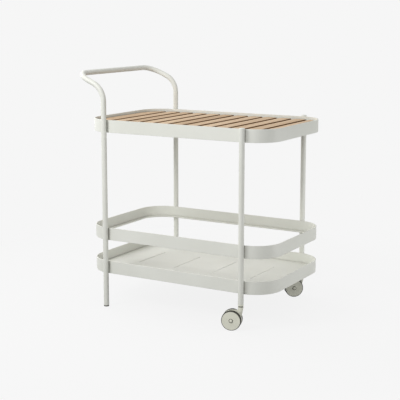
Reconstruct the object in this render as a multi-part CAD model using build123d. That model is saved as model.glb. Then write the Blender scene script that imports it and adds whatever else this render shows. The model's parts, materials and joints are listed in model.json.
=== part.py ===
"""Serving trolley: bent tube frame, three bands, slatted wooden top, slotted lower sheet, two twin casters.

Millimetres, +Z up, X along the length with the push handle at -X, Y across, front at -Y.
Everything is modelled about the middle of the four legs, standing on z = 0, and then moved so that the
origin is the middle of the floor area that the trolley covers.
"""
import math
import os

from build123d import *

# Frame tubes
tube_diameter = 19
tube_wall = 1.5
leg_past_straight = 2
knee_height = 790
knee_radius = 68
handle_reach = 116
handle_rise = 50.5
handle_corner_radius = 58
caster_leg_bottom = 89.5
caster_leg_rise = 1

# Bands: a flat bar bent to a rounded rectangle, with a ledge strip inside near the lower edge
band_length = 745
band_width = 465
band_corner_radius = 98
band_height = 45
band_wall = 3
strip_edge_chamfer = 0.5
ledge_projection = 17
ledge_thickness = 3
ledge_lift = 5
top_band_top = 680
middle_rail_top = 290
bottom_band_top = 167

# Weld beads between legs and bands
weld_gap = 0.2
weld_leg = 2.6
weld_root = 0.6
weld_end_margin = 1.5

# Slatted top
slat_count = 12
end_slat_width = 58
slat_gap = 16
slat_thickness = 15
slat_depth_below_rim = 10
slat_clearance = 3.5
slat_edge_round = 0.5
bearer_width = 40
bearer_side_inset = 82.5
screw_radius = 2
screw_bite = 9
screw_head_radius = 4
screw_head_height = 2.2
screw_clearance = 0.05

# Lower sheet with a raised field
sheet_thickness = 1.5
sheet_clearance = 0.8
field_inset = 8
field_slope_width = 26
field_rise = 4.5
slot_count = 4
slot_end_inset = 138.5
slot_side_inset = 139.5
slot_width = 3.2

# Plugs in the tube ends
plug_clearance = 0.1
plug_length = 18
cap_dome = 3
cap_edge_round = 2.5
glide_height = 5
glide_edge_round = 1.5

# Casters
wheel_diameter = 68
wheel_width = 13
wheel_gap = 11
caster_trail = 30
tyre_thickness = 2.5
tyre_edge_round = 1.6
tyre_inset = 0.3
hub_recess_radius = 6.6
hub_recess_depth = 3.5
hub_boss_radius = 8
hub_inner_recess_radius = 14
hub_inner_recess_depth = 3
rim_root_radius = 23
rim_inner_radius = 27
face_plate_step = 0.7
face_plate_thickness = 2.4
face_edge_chamfer = 0.6
axle_radius = 4
axle_cap_radius = 5.4
axle_cap_height = 6
axle_cap_round = 2.4
axial_play = 0.3
running_clearance = 0.05
housing_side_play = 0.7
housing_margin = 0.6
fender_foot_inset = 1.2
housing_bottom = 17
neck_top = 79.5
shoulder_height = 68
neck_cone_top = 65
neck_cone_bottom = 46
neck_cone_radius = 5.8
neck_cone_lean = 2
blade_front_reach = 7
blade_back_reach = 14.5
socket_flange_height = 5.5
socket_depth = 30
stem_radius = 4
stem_grip = 12
stem_reach = 24
collar_radius = 8.2
swivel_play = 0.3
front_caster_heading = 197
rear_caster_heading = 217

# Values that follow from the ones above
tube_radius = tube_diameter / 2
tube_bore_radius = tube_radius - tube_wall
leg_x = band_length / 2 - band_corner_radius + leg_past_straight
leg_y = band_width / 2 + weld_gap + tube_radius
plug_radius = tube_bore_radius - plug_clearance
ledge_top = ledge_lift + ledge_thickness
slat_inset = band_wall + slat_clearance
inner_slats_length = band_length - 2 * (slat_inset + end_slat_width)
slat_pitch = (inner_slats_length - slat_gap) / (slat_count - 2)
slat_top = top_band_top - slat_depth_below_rim
slat_bottom = slat_top - slat_thickness
bearer_bottom = top_band_top - band_height + ledge_top
bearer_spacing = band_width / 2 - bearer_side_inset
sheet_bottom = bottom_band_top - band_height + ledge_top
slot_pitch = (band_length - 2 * slot_end_inset) / (slot_count - 1)
slot_length = band_width - 2 * slot_side_inset
wheel_radius = wheel_diameter / 2
tyre_inner_radius = wheel_radius - tyre_thickness
tyre_width = wheel_width - tyre_inset - face_plate_thickness
face_plate_radius = wheel_radius - face_plate_step
housing_thickness = wheel_gap - 2 * housing_side_play
caster_width = 2 * wheel_width + wheel_gap
socket_bottom = caster_leg_bottom - socket_flange_height
overrun = tube_diameter


def rounded_plate(inset, bottom, top):
    """A plate with the bands' outline, drawn in by inset all round."""
    outline = RectangleRounded(
        band_length - 2 * inset, band_width - 2 * inset, band_corner_radius - inset
    )
    return Pos(0, 0, bottom) * extrude(outline, top - bottom)


def tube(path):
    """A tube of the frame's section swept along a path."""
    start = Plane(origin=path @ 0, z_dir=path % 0)
    return sweep(start * (Circle(tube_radius) - Circle(tube_bore_radius)), path=path)


def leg_places():
    """The four leg axes as pairs of signs along X and Y."""
    return [(x_side, y_side) for x_side in (-1, 1) for y_side in (-1, 1)]


def handle_leg_hoop():
    """Left legs, handle arms and crossbar, bent from one tube."""
    points = []
    for side in (-1, 1):
        half = [
            (-leg_x, side * leg_y, glide_height),
            (-leg_x, side * leg_y, knee_height),
            (-leg_x - handle_reach, side * leg_y, knee_height + handle_rise),
        ]
        points += half if side < 0 else half[::-1]
    radii = [knee_radius, handle_corner_radius, handle_corner_radius, knee_radius]
    return tube(FilletPolyline(*points, radius=radii))


def caster_leg(y_side):
    """Straight right leg, open at both ends."""
    bottom = (leg_x, y_side * leg_y, caster_leg_bottom)
    top = (leg_x, y_side * leg_y, top_band_top + caster_leg_rise)
    return tube(Line(bottom, top))


def leg_top_cap(y_side):
    """Domed plug in the top of a right leg."""
    seat = top_band_top + caster_leg_rise
    plug = Pos(0, 0, seat - plug_length) * extrude(Circle(plug_radius), plug_length)
    dome = Pos(0, 0, seat) * extrude(Circle(tube_radius), cap_dome)
    dome = fillet(dome.edges().sort_by(Axis.Z)[-1], cap_edge_round)
    return Pos(leg_x, y_side * leg_y, 0) * (plug + dome)


def foot_glide(y_side):
    """Plastic glide plugged into the end of a left leg."""
    sole = extrude(Circle(tube_radius), glide_height)
    sole = fillet(sole.edges().sort_by(Axis.Z)[0], glide_edge_round)
    plug = Pos(0, 0, glide_height) * extrude(Circle(plug_radius), plug_length)
    return Pos(-leg_x, y_side * leg_y, 0) * (sole + plug)


def ring(outer_inset, width, bottom, height):
    """A closed strip along the bands' outline."""
    top = bottom + height
    hole = rounded_plate(outer_inset + width, bottom - overrun, top + overrun)
    body = rounded_plate(outer_inset, bottom, top) - hole
    levels = body.faces().sort_by(Axis.Z)
    return chamfer(levels[0].edges() + levels[-1].edges(), strip_edge_chamfer)


def band(top):
    """The flat bar of one band."""
    return ring(0, band_wall, top - band_height, band_height)


def ledge(top):
    """The strip welded inside one band."""
    return ring(band_wall, ledge_projection, top - band_height + ledge_lift, ledge_thickness)


def band_welds(top):
    """Two thin beads at each leg, in the wedge between the tube and the band."""
    length = band_height - 2 * weld_end_margin
    low = top - band_height + weld_end_margin
    throat = tube_radius + weld_gap - math.sqrt(tube_radius**2 - weld_leg**2)
    beads = []
    for x_side, y_side in leg_places():
        axis_place = Pos(x_side * leg_x, y_side * leg_y, low)
        tube_core = extrude(Circle(tube_radius), length)
        face = -y_side * (tube_radius + weld_gap)
        for hand in (-1, 1):
            corner_x = hand * weld_leg
            outline = Polygon(
                (hand * weld_root, face),
                (corner_x, face),
                (corner_x, face + y_side * throat),
                (hand * weld_root, face + y_side * throat),
                align=None,
            )
            bead = extrude(outline, length, dir=(0, 0, 1))
            beads.append(axis_place * (bead - tube_core))
    return beads


def slat_centre(index):
    """X of a slat's middle."""
    return (index - (slat_count - 1) / 2) * slat_pitch


def slat_outline():
    """The space in the top band that the wood fills, at slat height."""
    return rounded_plate(slat_inset, slat_bottom, slat_top)


def slat(index):
    """One slat; the two end slats reach out to the band and take its corners."""
    low = slat_centre(index) - (slat_pitch - slat_gap) / 2
    high = slat_centre(index) + (slat_pitch - slat_gap) / 2
    if index == 0:
        low = -band_length / 2
    if index == slat_count - 1:
        high = band_length / 2
    strip = Pos((low + high) / 2, 0, (slat_bottom + slat_top) / 2) * Box(
        high - low, band_width, slat_thickness
    )
    body = slat_outline() & strip
    body = fillet(body.faces().sort_by(Axis.Z)[-1].edges(), slat_edge_round)
    for y in bearer_places():
        hole = Pos(slat_centre(index), y, slat_bottom) * Cylinder(
            screw_radius + screw_clearance, 2 * screw_bite
        )
        body -= hole
    return body


def bearer_places():
    """Y of each bearer's middle, front to rear."""
    return [-bearer_spacing, 0, bearer_spacing]


def slat_bearer(y):
    """Batten along X under the slats, with its ends on the top band's ledge."""
    thickness = slat_bottom - bearer_bottom
    strip = Pos(0, y, bearer_bottom + thickness / 2) * Box(band_length, bearer_width, thickness)
    space = rounded_plate(slat_inset, bearer_bottom, slat_bottom)
    body = space & strip
    for index in range(slat_count):
        hole = Pos(slat_centre(index), y, slat_bottom) * Cylinder(
            screw_radius + screw_clearance, 2 * overrun
        )
        body -= hole
    return body


def slat_screws():
    """One screw from below at each crossing of a bearer and a slat."""
    head_bottom = bearer_bottom - screw_head_height
    shank_length = slat_bottom - bearer_bottom + screw_bite - screw_clearance
    head = extrude(Circle(screw_head_radius), screw_head_height)
    shank = Pos(0, 0, screw_head_height) * extrude(Circle(screw_radius), shank_length)
    screw = head + shank
    return [
        Pos(slat_centre(index), y, head_bottom) * screw
        for index in range(slat_count)
        for y in bearer_places()
    ]


def bottom_tray_sheet():
    """Sheet on the bottom band's ledge, its field pressed up, with slots along Y."""
    low = sheet_bottom
    edge_inset = band_wall + sheet_clearance
    foot_inset = edge_inset + field_inset
    field_insets = (foot_inset, foot_inset + field_slope_width)

    def field(base):
        outlines = [
            Pos(0, 0, base + rise)
            * RectangleRounded(
                band_length - 2 * inset, band_width - 2 * inset, band_corner_radius - inset
            )
            for inset, rise in zip(field_insets, (0, field_rise))
        ]
        return loft(outlines, ruled=True)

    plate = rounded_plate(edge_inset, low, low + sheet_thickness)
    body = plate + field(low + sheet_thickness) - field(low)
    for index in range(slot_count):
        x = (index - (slot_count - 1) / 2) * slot_pitch
        slot = extrude(SlotOverall(slot_length, slot_width, rotation=90), 2 * overrun)
        body -= Pos(x, 0, low - overrun) * slot
    return body


def caster_frame(y_side, heading):
    """Place of a caster: origin under the swivel axis, local X along the trail."""
    return Pos(leg_x, y_side * leg_y, 0) * Rot(0, 0, heading)


def across(radius, low, high):
    """A cylinder along the axle, from low to high across the caster."""
    return Pos(caster_trail, high, wheel_radius) * Rot(90, 0, 0) * extrude(Circle(radius), high - low)


def swivel_socket():
    """Plug in the leg's lower end, with a flange and the stem's bore."""
    flange = Pos(0, 0, socket_bottom) * extrude(Circle(tube_radius), socket_flange_height)
    plug = Pos(0, 0, caster_leg_bottom) * extrude(Circle(plug_radius), socket_depth)
    bore = Pos(0, 0, socket_bottom) * extrude(
        Circle(stem_radius + running_clearance), socket_flange_height + socket_depth
    )
    return flange + plug - bore


def swivel_stem():
    """Steel pin, fast in the housing, that turns in the socket."""
    length = stem_grip + (socket_bottom - neck_top) + stem_reach
    return Pos(0, 0, neck_top - stem_grip) * extrude(Circle(stem_radius), length)


def swivel_collar():
    """Dark ring between the housing and the socket."""
    ring = Circle(collar_radius) - Circle(stem_radius)
    return Pos(0, 0, neck_top) * extrude(ring, socket_bottom - neck_top - swivel_play)


def housing_outline(half_width):
    """The housing's side view from the wheels' centre up to the neck, to a half width each side."""
    outline = Polygon(
        (-tube_radius, neck_top),
        (-blade_front_reach, shoulder_height),
        (caster_trail - wheel_radius + housing_margin + fender_foot_inset, wheel_radius + tube_radius),
        (caster_trail, wheel_radius),
        (caster_trail, wheel_diameter - housing_margin),
        (blade_back_reach, shoulder_height),
        (tube_radius, neck_top),
        align=None,
    )
    return extrude(Plane.XZ * outline, half_width, both=True)


def wheel_spaces():
    """The room that both wheels turn in, with play round them."""
    radius = wheel_radius + housing_side_play
    reach = caster_width / 2 + overrun
    side = across(radius, housing_thickness / 2, reach)
    return side + across(radius, -reach, -housing_thickness / 2)


def caster_housing():
    """Blade between the wheels with a fender's round back, rising to a round neck under the leg."""
    half = housing_thickness / 2
    fender = across(wheel_radius - housing_margin, -half, half)
    cut_depth = housing_bottom + overrun
    fender -= Pos(caster_trail, 0, housing_bottom - cut_depth / 2) * Box(
        wheel_diameter, caster_width, cut_depth
    )
    cone_foot = Pos(neck_cone_lean, 0, neck_cone_bottom) * Circle(neck_cone_radius)
    cone_head = Pos(0, 0, neck_cone_top) * Circle(tube_radius)
    neck = Pos(0, 0, neck_cone_top) * extrude(Circle(tube_radius), neck_top - neck_cone_top)
    neck += loft([cone_foot, cone_head])
    blade_limit = Pos(caster_trail, 0, shoulder_height / 2) * Box(
        2 * wheel_diameter, housing_thickness, shoulder_height
    )
    body = (housing_outline(tube_radius) & neck) - wheel_spaces()
    body += housing_outline(half) & blade_limit
    body += fender
    body -= Pos(0, 0, neck_top - stem_grip) * extrude(Circle(stem_radius), stem_grip)
    return body - across(axle_radius, -caster_width, caster_width)


def caster_axle():
    """Steel pin through the housing and both wheels."""
    half = caster_width / 2 - hub_recess_depth + axial_play
    return across(axle_radius, -half, half)


def axle_cap(side):
    """Domed cap on the axle's end, in the wheel's hub recess."""
    seat = caster_width / 2 - hub_recess_depth + axial_play
    cap = extrude(Circle(axle_cap_radius), axle_cap_height)
    cap = fillet(cap.edges().sort_by(Axis.Z)[-1], axle_cap_round)
    return Pos(caster_trail, side * seat, wheel_radius) * Rot(-90 * side, 0, 0) * cap


def wheel_profile_turn(points):
    """A solid turned about the axle from points of radius and distance across."""
    outline = make_face(Polyline(*[(radius, depth) for radius, depth in points], close=True))
    return revolve(outline, Axis.Y)


def wheel(side):
    """Wheel with a face plate over the tyre's outer side, hub recesses and a running bore."""
    inner = wheel_gap / 2
    outer = caster_width / 2
    bore = axle_radius + running_clearance
    body = wheel_profile_turn(
        [
            (bore, inner),
            (hub_boss_radius, inner),
            (hub_inner_recess_radius, inner + hub_inner_recess_depth),
            (rim_root_radius, inner + hub_inner_recess_depth),
            (rim_inner_radius, inner + tyre_inset),
            (tyre_inner_radius, inner + tyre_inset),
            (tyre_inner_radius, outer - face_plate_thickness),
            (face_plate_radius, outer - face_plate_thickness),
            (face_plate_radius, outer - face_edge_chamfer),
            (face_plate_radius - face_edge_chamfer, outer),
            (hub_recess_radius, outer),
            (hub_recess_radius, outer - hub_recess_depth),
            (bore, outer - hub_recess_depth),
        ]
    )
    turn = 0 if side > 0 else 180
    return Pos(caster_trail, 0, wheel_radius) * Rot(0, 0, turn) * body


def tyre(side):
    """Tyre ring round a wheel, with rounded shoulders."""
    ring = Circle(wheel_radius) - Circle(tyre_inner_radius)
    body = extrude(ring, tyre_width)
    rims = body.edges().filter_by(GeomType.CIRCLE).group_by(SortBy.RADIUS)[-1]
    body = fillet(rims, tyre_edge_round)
    seat = wheel_gap / 2 + tyre_inset
    return Pos(caster_trail, side * seat, wheel_radius) * Rot(-90 * side, 0, 0) * body


def caster(name, y_side, heading):
    """All pieces of one caster, named for its place."""
    place = caster_frame(y_side, heading)
    pieces = {
        "swivel_socket": swivel_socket(),
        "swivel_stem": swivel_stem(),
        "swivel_collar": swivel_collar(),
        "caster_housing": caster_housing(),
        "caster_axle": caster_axle(),
        "wheel_left": wheel(1),
        "wheel_right": wheel(-1),
        "tyre_left": tyre(1),
        "tyre_right": tyre(-1),
        "axle_cap_left": axle_cap(1),
        "axle_cap_right": axle_cap(-1),
    }
    return {f"{piece}_{name}": [place * shape] for piece, shape in pieces.items()}


def all_pieces():
    """Every node of the trolley, as a list of solids each."""
    nodes = {
        "handle_leg_hoop": [handle_leg_hoop()],
        "slat_screws": slat_screws(),
        "bottom_tray_sheet": [bottom_tray_sheet()],
    }
    for name, top in (
        ("top_band", top_band_top),
        ("middle_rail", middle_rail_top),
        ("bottom_band", bottom_band_top),
    ):
        nodes[name] = [band(top)]
        nodes[f"{name}_ledge"] = [ledge(top)]
        nodes[f"{name}_welds"] = band_welds(top)
    for name, y_side in (("front", -1), ("rear", 1)):
        nodes[f"caster_leg_{name}"] = [caster_leg(y_side)]
        nodes[f"leg_top_cap_{name}"] = [leg_top_cap(y_side)]
        nodes[f"foot_glide_{name}"] = [foot_glide(y_side)]
    for name, y in zip(("front", "middle", "rear"), bearer_places()):
        nodes[f"slat_bearer_{name}"] = [slat_bearer(y)]
    for index in range(slat_count):
        nodes[f"slat_{index + 1:02d}"] = [slat(index)]
    nodes |= caster("front", -1, front_caster_heading)
    nodes |= caster("rear", 1, rear_caster_heading)
    return nodes


def footprint_centre(nodes):
    """Middle of the floor area under the trolley."""
    box = Compound([solid for solids in nodes.values() for solid in solids]).bounding_box()
    return Pos(box.center().X, box.center().Y, 0)


def write_parts():
    """One file per node, moved to the origin."""
    os.makedirs("parts", exist_ok=True)
    nodes = all_pieces()
    to_origin = footprint_centre(nodes).inverse()
    for name, solids in nodes.items():
        flat = [piece for solid in solids for piece in (to_origin * solid).solids()]
        shape = flat[0] if len(flat) == 1 else Compound(flat)
        export_step(shape, f"parts/{name}.step")


write_parts()
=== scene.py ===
"""Looks of the serving trolley: materials, light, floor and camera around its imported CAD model."""

import json
import math

import bpy
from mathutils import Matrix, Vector


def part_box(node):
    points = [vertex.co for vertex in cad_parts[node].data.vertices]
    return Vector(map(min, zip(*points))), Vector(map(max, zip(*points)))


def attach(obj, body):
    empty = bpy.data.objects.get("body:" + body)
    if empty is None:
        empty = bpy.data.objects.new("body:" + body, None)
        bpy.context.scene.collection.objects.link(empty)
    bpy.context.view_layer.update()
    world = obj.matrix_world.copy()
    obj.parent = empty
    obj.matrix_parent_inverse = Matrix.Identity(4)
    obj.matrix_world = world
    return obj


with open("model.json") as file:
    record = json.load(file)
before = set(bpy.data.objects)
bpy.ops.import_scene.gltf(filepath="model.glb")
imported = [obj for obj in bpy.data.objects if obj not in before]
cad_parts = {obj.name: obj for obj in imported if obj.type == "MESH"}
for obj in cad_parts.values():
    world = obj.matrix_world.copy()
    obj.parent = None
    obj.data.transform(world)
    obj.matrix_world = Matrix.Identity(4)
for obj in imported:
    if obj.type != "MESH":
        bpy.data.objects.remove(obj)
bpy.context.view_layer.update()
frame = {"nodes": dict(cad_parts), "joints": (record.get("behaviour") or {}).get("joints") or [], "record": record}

# Camera fitted to the photograph's edges, in metres, degrees and pixels of a 400 pixel frame
image_width = 400
focal_pixels = 1017
camera_place = (1.8402, -3.1498, 1.0668)
camera_yaw = 30.34
camera_pitch = 9.5
centre_rise_pixels = 20.7
sensor_width = 36

# Colours as they look on screen, red, green and blue from 0 to 255
paint_low = (217, 218, 210)
paint_high = (224, 225, 218)
# The joint colour is painted shade for the paint in joints and inner corners
joint_shade_colour = (145, 144, 133)
wood_dark = (182, 154, 124)
wood_middle = (206, 180, 150)
wood_light = (222, 197, 168)
# The side colours are painted shade: darker browns for the boards' upright sides, in the gaps where shade falls
side_shade_dark = (96, 60, 29)
side_shade_light = (130, 90, 50)
caster_low = (220, 220, 205)
caster_high = (227, 227, 212)
dark_low = (98, 97, 91)
dark_high = (112, 111, 104)
tyre_low = (46, 45, 40)
tyre_high = (58, 57, 51)
steel_low = (186, 186, 183)
steel_high = (204, 204, 201)
background = (246, 246, 246)
floor_seen = (238, 238, 238)
floor_bounce = (118, 118, 118)
byte_top = 255

# Light: degrees from the front towards the left, distance, height and size in metres, watts
world_strength = 0.66
lights = {
    "key": (26, 1.8, 1.6, 0.7, 20),
    "left": (102, 2.3, 1.4, 1.5, 28),
    "front": (-20, 1.9, 0.75, 0.8, 5),
    "right": (-108, 1.35, 0.28, 0.5, 3.2),
}
light_aim = (0, 0, 0.45)

# Painted shade in the joints, from ambient occlusion: how near in metres, and the open shares at which the painted
# shade is darkest and at which the paint is plain
joint_shade_reach = 0.012
joint_shade_full = 0.15
joint_shade_gone = 0.65

# Rubber trim on each wheel, in metres: a lip round the plate's rim, and a dark ring round the axle's cap that
# stands in for the shade in its hollow.
# The plate's thickness and chamfer are the CAD's own.
lip_width = 0.0018
lip_rise = 0.00012
lip_side = 0.0004
lip_skin = 0.00002
plate_thickness = 0.0024
plate_chamfer = 0.0006
shade_ring_gap = 0.0002
shade_ring_width = 0.0009
shade_ring_flange = 0.0008
shade_ring_depth = 0.0012
trim_facets = 128
sharp_angle = 30

# Floor, in metres: near_glow_share of its own glow inside near_reach, all of it beyond far_reach
floor_reach = 30
near_reach = 0.6
far_reach = 1.3
near_glow_share = 0.93
floor_roughness = 0.9


def linear(colour):
    """A screen colour as the linear red, green, blue and alpha that Blender's sockets take."""
    knee, toe_slope, offset, power = 0.04045, 12.92, 0.055, 2.4
    parts = [value / byte_top for value in colour]
    toe = [part / toe_slope for part in parts]
    curve = [((part + offset) / (1 + offset)) ** power for part in parts]
    return [low if part <= knee else high for part, low, high in zip(parts, toe, curve)] + [1]


def named(sockets, identifier):
    """The socket of a node with many hidden ones that has this identifier."""
    return next(socket for socket in sockets if socket.identifier == identifier)


class Finish:
    """A procedural material while it is built."""

    def __init__(self, name, metallic=0, specular=0.5):
        self.material = bpy.data.materials.new(name)
        self.material.use_nodes = True
        self.tree = self.material.node_tree
        self.shader = self.tree.nodes["Principled BSDF"]
        self.shader.inputs["Metallic"].default_value = metallic
        self.shader.inputs["Specular IOR Level"].default_value = specular
        self.place = self.node("ShaderNodeTexCoord").outputs["Object"]

    def node(self, kind, **settings):
        """A new node with these settings."""
        made = self.tree.nodes.new(kind)
        for key, value in settings.items():
            setattr(made, key, value)
        return made

    def feed(self, target, value):
        """Gives a socket another socket's output, or a fixed value."""
        if isinstance(value, bpy.types.NodeSocket):
            self.tree.links.new(value, target)
        else:
            target.default_value = value

    def maths(self, operation, first, second):
        """A math node's result."""
        made = self.node("ShaderNodeMath", operation=operation)
        self.feed(made.inputs[0], first)
        self.feed(made.inputs[1], second)
        return made.outputs[0]

    def split(self, vector):
        """A vector's X, Y and Z."""
        made = self.node("ShaderNodeSeparateXYZ")
        self.feed(made.inputs["Vector"], vector)
        return made.outputs

    def stretched(self, scale):
        """The place on the piece, scaled along each axis."""
        made = self.node("ShaderNodeMapping")
        self.feed(made.inputs["Vector"], self.place)
        made.inputs["Scale"].default_value = scale
        return made.outputs["Vector"]

    def noise(self, scale, detail, seed=0, place=None):
        """Soft noise from 0 to 1, with scale features to a metre."""
        made = self.node("ShaderNodeTexNoise", noise_dimensions="4D")
        self.feed(made.inputs["Vector"], place or self.place)
        self.feed(made.inputs["W"], seed)
        made.inputs["Scale"].default_value = scale
        made.inputs["Detail"].default_value = detail
        return made.outputs["Fac"]

    def ramp(self, factor, stops):
        """Colours along a factor, from a table of position to screen colour."""
        made = self.node("ShaderNodeValToRGB")
        self.feed(made.inputs["Fac"], factor)
        points = made.color_ramp.elements
        while len(points) < len(stops):
            points.new(1)
        for point, (position, colour) in zip(points, stops.items()):
            point.position = position
            point.color = linear(colour)
        return made.outputs["Color"]

    def mottle(self, low, high, scale, margin, detail=3):
        """Two close colours in soft patches. A wider margin leaves less blend between them."""
        return self.ramp(self.noise(scale, detail), {margin: low, 1 - margin: high})

    def blend(self, factor, first, second):
        """The first colour at factor 0 and the second at 1."""
        made = self.node("ShaderNodeMix", data_type="RGBA")
        for name, value in (("Factor_Float", factor), ("A_Color", first), ("B_Color", second)):
            self.feed(named(made.inputs, name), value)
        return named(made.outputs, "Result_Color")

    def spread(self, factor, low, high, start=0, end=1):
        """A factor from start to end turned to a number from low to high."""
        made = self.node("ShaderNodeMapRange")
        self.feed(made.inputs["Value"], factor)
        ends = {"From Min": start, "From Max": end, "To Min": low, "To Max": high}
        for name, value in ends.items():
            made.inputs[name].default_value = value
        return made.outputs["Result"]

    def facing_up(self):
        """1 on level faces, 0 on upright ones."""
        rise = self.split(self.node("ShaderNodeNewGeometry").outputs["True Normal"])["Z"]
        return self.spread(self.maths("ABSOLUTE", rise, 0), low=0, high=1, start=0.6, end=0.9)

    def joint_shade_mask(self):
        """Ambient occlusion as the mask for painted shade: 0 deep in a joint between parts, 1 on open faces."""
        made = self.node("ShaderNodeAmbientOcclusion", samples=8)
        made.inputs["Distance"].default_value = joint_shade_reach
        return self.spread(made.outputs["AO"], low=0, high=1, start=joint_shade_full, end=joint_shade_gone)

    def bump(self, height, strength, depth):
        """Surface relief, depth in metres."""
        made = self.node("ShaderNodeBump")
        self.feed(made.inputs["Height"], height)
        made.inputs["Strength"].default_value = strength
        made.inputs["Distance"].default_value = depth
        return made.outputs["Normal"]

    def set(self, colour, roughness, normal):
        """Joins colour, roughness and relief to the shader and hands the material over."""
        self.feed(self.shader.inputs["Base Color"], colour)
        self.feed(self.shader.inputs["Roughness"], roughness)
        self.feed(self.shader.inputs["Normal"], normal)
        return self.material


def powder_coat():
    """Pale warm grey powder coat with fine orange peel, with painted shade darkening the joints."""
    finish = Finish("powder_coat")
    coat = finish.mottle(paint_low, paint_high, scale=5, margin=0.35)
    # Painted shade: the paint turns dark grey in joints and inner corners, where shade falls
    colour = finish.blend(finish.joint_shade_mask(), linear(joint_shade_colour), coat)
    roughness = finish.spread(finish.noise(scale=60, detail=3, seed=1), low=0.42, high=0.56)
    peel = finish.noise(scale=1100, detail=2, seed=2)
    return finish.set(colour, roughness, finish.bump(peel, strength=0.15, depth=0.0002))


def moulded_plastic(name, low, high, roughness, roughness_span=0.12):
    """Moulded plastic with a fine grained skin."""
    finish = Finish(name)
    colour = finish.mottle(low, high, scale=45, margin=0.35)
    patches = finish.noise(scale=160, detail=3, seed=1)
    sheen = finish.spread(patches, low=roughness, high=roughness + roughness_span)
    skin = finish.noise(scale=2400, detail=2, seed=2)
    return finish.set(colour, sheen, finish.bump(skin, strength=0.12, depth=0.0001))


def tyre_rubber():
    """Dark grey rubber, dusty and matt."""
    finish = Finish("tyre_rubber")
    colour = finish.mottle(tyre_low, tyre_high, scale=70, margin=0.3, detail=4)
    roughness = finish.spread(finish.noise(scale=220, detail=3, seed=1), low=0.72, high=0.9)
    skin = finish.noise(scale=1800, detail=3, seed=2)
    return finish.set(colour, roughness, finish.bump(skin, strength=0.3, depth=0.0001))


def turned_steel(name):
    """Plain bright steel with fine marks."""
    finish = Finish(name, metallic=1)
    colour = finish.mottle(steel_low, steel_high, scale=120, margin=0.3)
    roughness = finish.spread(finish.noise(scale=900, detail=3, seed=1), low=0.24, high=0.4)
    marks = finish.noise(scale=2600, detail=2, seed=2)
    return finish.set(colour, roughness, finish.bump(marks, strength=0.08, depth=0.0001))


def teak(name, grain_axis, first_edge, board_pitch):
    """Oiled teak boards side by side, grain along one axis, each with its own tint and grain."""
    grain_stretch = 0.035
    seed_step = 7.3
    streak_weight = 0.7
    finish = Finish(name, specular=0.05)
    side_axis = "X" if grain_axis == "Y" else "Y"
    along = finish.maths("SUBTRACT", finish.split(finish.place)[side_axis], first_edge)
    board = finish.maths("FLOOR", finish.maths("DIVIDE", along, board_pitch), 0)
    pick = finish.node("ShaderNodeTexWhiteNoise", noise_dimensions="1D")
    finish.feed(pick.inputs["W"], board)
    tint = finish.spread(pick.outputs["Value"], low=-0.1, high=0.12)
    seed = finish.maths("MULTIPLY", board, seed_step)
    grain = finish.stretched((1, grain_stretch, 1) if grain_axis == "Y" else (grain_stretch, 1, 1))
    streaks = finish.noise(scale=90, detail=4, seed=seed, place=grain)
    fibres = finish.noise(scale=900, detail=3, seed=seed, place=grain)
    figure = finish.maths("MULTIPLY", streaks, streak_weight)
    ridges = finish.spread(fibres, low=-0.14, high=0.34)
    shade = finish.maths("ADD", finish.maths("ADD", figure, ridges), tint)
    top = finish.ramp(shade, {0.25: wood_dark, 0.48: wood_middle, 0.72: wood_light})
    # Painted shade: the boards' upright sides take the darker browns, standing in for the shade in the gaps
    side = finish.ramp(shade, {0.25: side_shade_dark, 0.72: side_shade_light})
    colour = finish.blend(finish.facing_up(), side, top)
    roughness = finish.spread(fibres, low=0.5, high=0.72)
    return finish.set(colour, roughness, finish.bump(fibres, strength=0.25, depth=0.0002))


def board_row(first, second, axis):
    """Where a row of boards starts along an axis, and its pitch, from two neighbours."""
    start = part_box(first)[0][axis]
    return start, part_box(second)[0][axis] - start


def dress():
    """Gives every CAD node the material of its slot, and returns the materials by slot."""
    looks = {
        "frame_paint": powder_coat(),
        "caster_plastic": moulded_plastic(
            "caster_plastic", caster_low, caster_high, roughness=0.36
        ),
        "glide_plastic": moulded_plastic("glide_plastic", dark_low, dark_high, roughness=0.5),
        "tyre": tyre_rubber(),
        "steel": turned_steel("steel"),
        "screw_steel": turned_steel("screw_steel"),
        "wood": teak("teak_slats", "Y", *board_row("slat_02", "slat_03", 0)),
    }
    battens = teak("teak_battens", "X", *board_row("slat_bearer_front", "slat_bearer_middle", 1))
    for part in frame["record"]["subparts"]:
        name = part["node"]
        look = battens if name.startswith("slat_bearer") else looks[part["material_slot"]]
        for place in frame["nodes"][name].material_slots:
            place.material = look
    return looks


class Axle:
    """The line that a wheel turns about, with the wheel's outer side as its positive way."""

    def __init__(self, joint, wheel):
        self.centre = Vector(joint["pos_m"])
        self.way = Vector(joint["axis"])
        self.way *= math.copysign(1, self.way.dot(sum(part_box(wheel), Vector()) / 2 - self.centre))
        self.level = self.way.cross(Vector((0, 0, 1)))

    def farthest(self, node):
        """The radius that a node reaches, and how far out it reaches along the axle."""
        arms = [vertex.co - self.centre for vertex in frame["nodes"][node].data.vertices]
        outs = [arm.dot(self.way) for arm in arms]
        return max((arm - self.way * out).length for arm, out in zip(arms, outs)), max(outs)

    def point(self, radius, out, angle):
        """A point at a radius and an angle round the axle, and a distance out along it."""
        across = self.level * math.cos(angle) + Vector((0, 0, math.sin(angle)))
        return self.centre + self.way * out + across * radius


def make_ring(name, axle, profile, body, look):
    """A ring of trim: a closed outline of radius and distance out, turned round the axle."""
    turns = [math.tau * step / trim_facets for step in range(trim_facets)]
    points = [axle.point(radius, out, turn) for turn in turns for radius, out in profile]
    count = len(profile)
    faces = []
    for start in range(0, len(points), count):
        after = (start + count) % len(points)
        for here in range(count):
            ahead = (here + 1) % count
            faces.append((start + here, start + ahead, after + ahead, after + here))
    mesh = bpy.data.meshes.new(name)
    mesh.from_pydata(points, [], faces)
    mesh.shade_smooth()
    mesh.set_sharp_from_angle(angle=math.radians(sharp_angle))
    mesh.materials.append(look)
    ring = bpy.data.objects.new(name, mesh)
    bpy.context.scene.collection.objects.link(ring)
    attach(ring, body)


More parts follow.
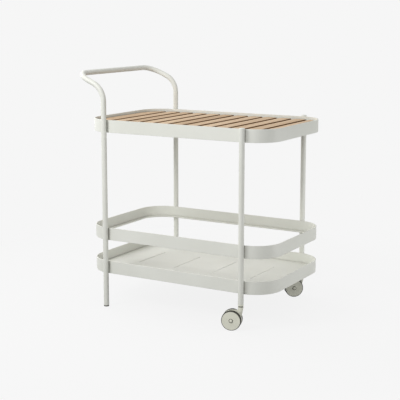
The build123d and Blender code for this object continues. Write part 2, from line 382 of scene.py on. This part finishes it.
def make_wheel_trim(looks):
    """The rubber lip on the face of each wheel, and a dark ring round the cap that stands in for the shade in its
    hollow.
    """
    for joint in frame["joints"]:
        if not joint["name"].endswith("wheel_spin"):
            continue
        end, side, _, _ = joint["name"].split("_")
        place = f"{side}_{end}"
        axle = Axle(joint, f"wheel_{place}")
        rim, face = axle.farthest(f"wheel_{place}")
        cap, _ = axle.farthest(f"axle_cap_{place}")
        edge = rim - plate_chamfer
        foot = face - plate_chamfer
        lip = [
            (rim, face - plate_thickness),
            (rim + lip_side, face - plate_thickness),
            (rim + lip_side, foot - lip_side),
            (rim + lip_skin, foot),
            (edge, face + lip_skin),
            (edge - lip_side, face + lip_rise),
            (rim - lip_width, face + lip_rise),
            (rim - lip_width, face),
            (edge, face),
            (rim, foot),
        ]
        # A dark rubber ring in the hollow round the cap, put there as painted shade
        bore = cap + shade_ring_gap
        mouth = bore + shade_ring_width
        shade_ring = [
            (bore, face - shade_ring_depth),
            (mouth, face - shade_ring_depth),
            (mouth, face),
            (mouth + shade_ring_flange, face),
            (mouth + shade_ring_flange, face + lip_rise),
            (bore, face + lip_rise),
        ]
        make_ring(f"tyre_lip_{place}", axle, lip, joint["child"], looks["tyre"])
        make_ring(f"hub_shade_ring_{place}", axle, shade_ring, joint["child"], looks["tyre"])


def make_camera():
    """The photograph's viewpoint."""
    data = bpy.data.cameras.new("camera")
    data.sensor_width = sensor_width
    data.lens = focal_pixels / image_width * sensor_width
    data.shift_y = -centre_rise_pixels / image_width
    camera = bpy.data.objects.new("camera", data)
    camera.location = camera_place
    camera.rotation_euler = (math.radians(90 - camera_pitch), 0, math.radians(camera_yaw))
    bpy.context.scene.collection.objects.link(camera)
    bpy.context.scene.camera = camera


def make_lights():
    """Soft lights round the object: two strong ones on the left, weak ones in front and right."""
    for name, (turn, distance, height, size, power) in lights.items():
        data = bpy.data.lights.new(name, "AREA")
        data.size = size
        data.energy = power
        light = bpy.data.objects.new(name, data)
        angle = math.radians(turn)
        light.location = (-distance * math.sin(angle), -distance * math.cos(angle), height)
        aim = Vector(light_aim) - light.location
        light.rotation_euler = aim.to_track_quat("-Z", "Y").to_euler()
        bpy.context.scene.collection.objects.link(light)


def straight_rays(tree):
    """1 for rays of the camera, of mirrors and of clear materials, 0 for the rest."""
    path = tree.nodes.new("ShaderNodeLightPath")
    total = path.outputs["Is Camera Ray"]
    for name in ("Is Glossy Ray", "Is Transmission Ray"):
        larger = tree.nodes.new("ShaderNodeMath")
        larger.operation = "MAXIMUM"
        tree.links.new(total, larger.inputs[0])
        tree.links.new(path.outputs[name], larger.inputs[1])
        total = larger.outputs[0]
    return total


def make_world():
    """Even light from all round, and the photograph's background behind the object."""
    world = bpy.data.worlds.new("studio")
    world.use_nodes = True
    bpy.context.scene.world = world
    tree = world.node_tree
    tree.nodes.clear()
    seen = tree.nodes.new("ShaderNodeBackground")
    seen.inputs["Color"].default_value = linear(background)
    glow = tree.nodes.new("ShaderNodeBackground")
    glow.inputs["Color"].default_value = (1, 1, 1, 1)
    glow.inputs["Strength"].default_value = world_strength
    mix = tree.nodes.new("ShaderNodeMixShader")
    output = tree.nodes.new("ShaderNodeOutputWorld")
    tree.links.new(straight_rays(tree), mix.inputs["Fac"])
    tree.links.new(glow.outputs[0], mix.inputs[1])
    tree.links.new(seen.outputs[0], mix.inputs[2])
    tree.links.new(mix.outputs[0], output.inputs["Surface"])


def floor_paper():
    """Paper in the background's colour, with a soft shadow near the object and little bounce."""
    finish = Finish("floor_paper")
    seen = straight_rays(finish.tree)
    colour = finish.blend(seen, linear(floor_bounce), linear(floor_seen))
    finish.feed(finish.shader.inputs["Base Color"], colour)
    finish.shader.inputs["Roughness"].default_value = floor_roughness
    distance = finish.node("ShaderNodeVectorMath", operation="LENGTH")
    finish.feed(distance.inputs[0], finish.place)
    away = distance.outputs["Value"]
    share = finish.spread(away, low=near_glow_share, high=1, start=near_reach, end=far_reach)
    glow = finish.node("ShaderNodeEmission")
    glow.inputs["Color"].default_value = linear(background)
    mix = finish.node("ShaderNodeMixShader")
    finish.feed(mix.inputs["Fac"], finish.maths("MULTIPLY", seen, share))
    finish.feed(mix.inputs[1], finish.shader.outputs[0])
    finish.feed(mix.inputs[2], glow.outputs[0])
    finish.feed(finish.tree.nodes["Material Output"].inputs["Surface"], mix.outputs[0])
    return finish.material


def make_floor():
    """A wide pale floor under the object."""
    mesh = bpy.data.meshes.new("floor")
    sides = ((-1, -1), (1, -1), (1, 1), (-1, 1))
    corners = [(x * floor_reach, y * floor_reach, 0) for x, y in sides]
    mesh.from_pydata(corners, [], [range(len(corners))])
    mesh.materials.append(floor_paper())
    floor = bpy.data.objects.new("floor", mesh)
    bpy.context.scene.collection.objects.link(floor)


make_camera()
make_wheel_trim(dress())
make_lights()
make_world()
make_floor()
bpy.context.scene.view_settings.view_transform = "Standard"
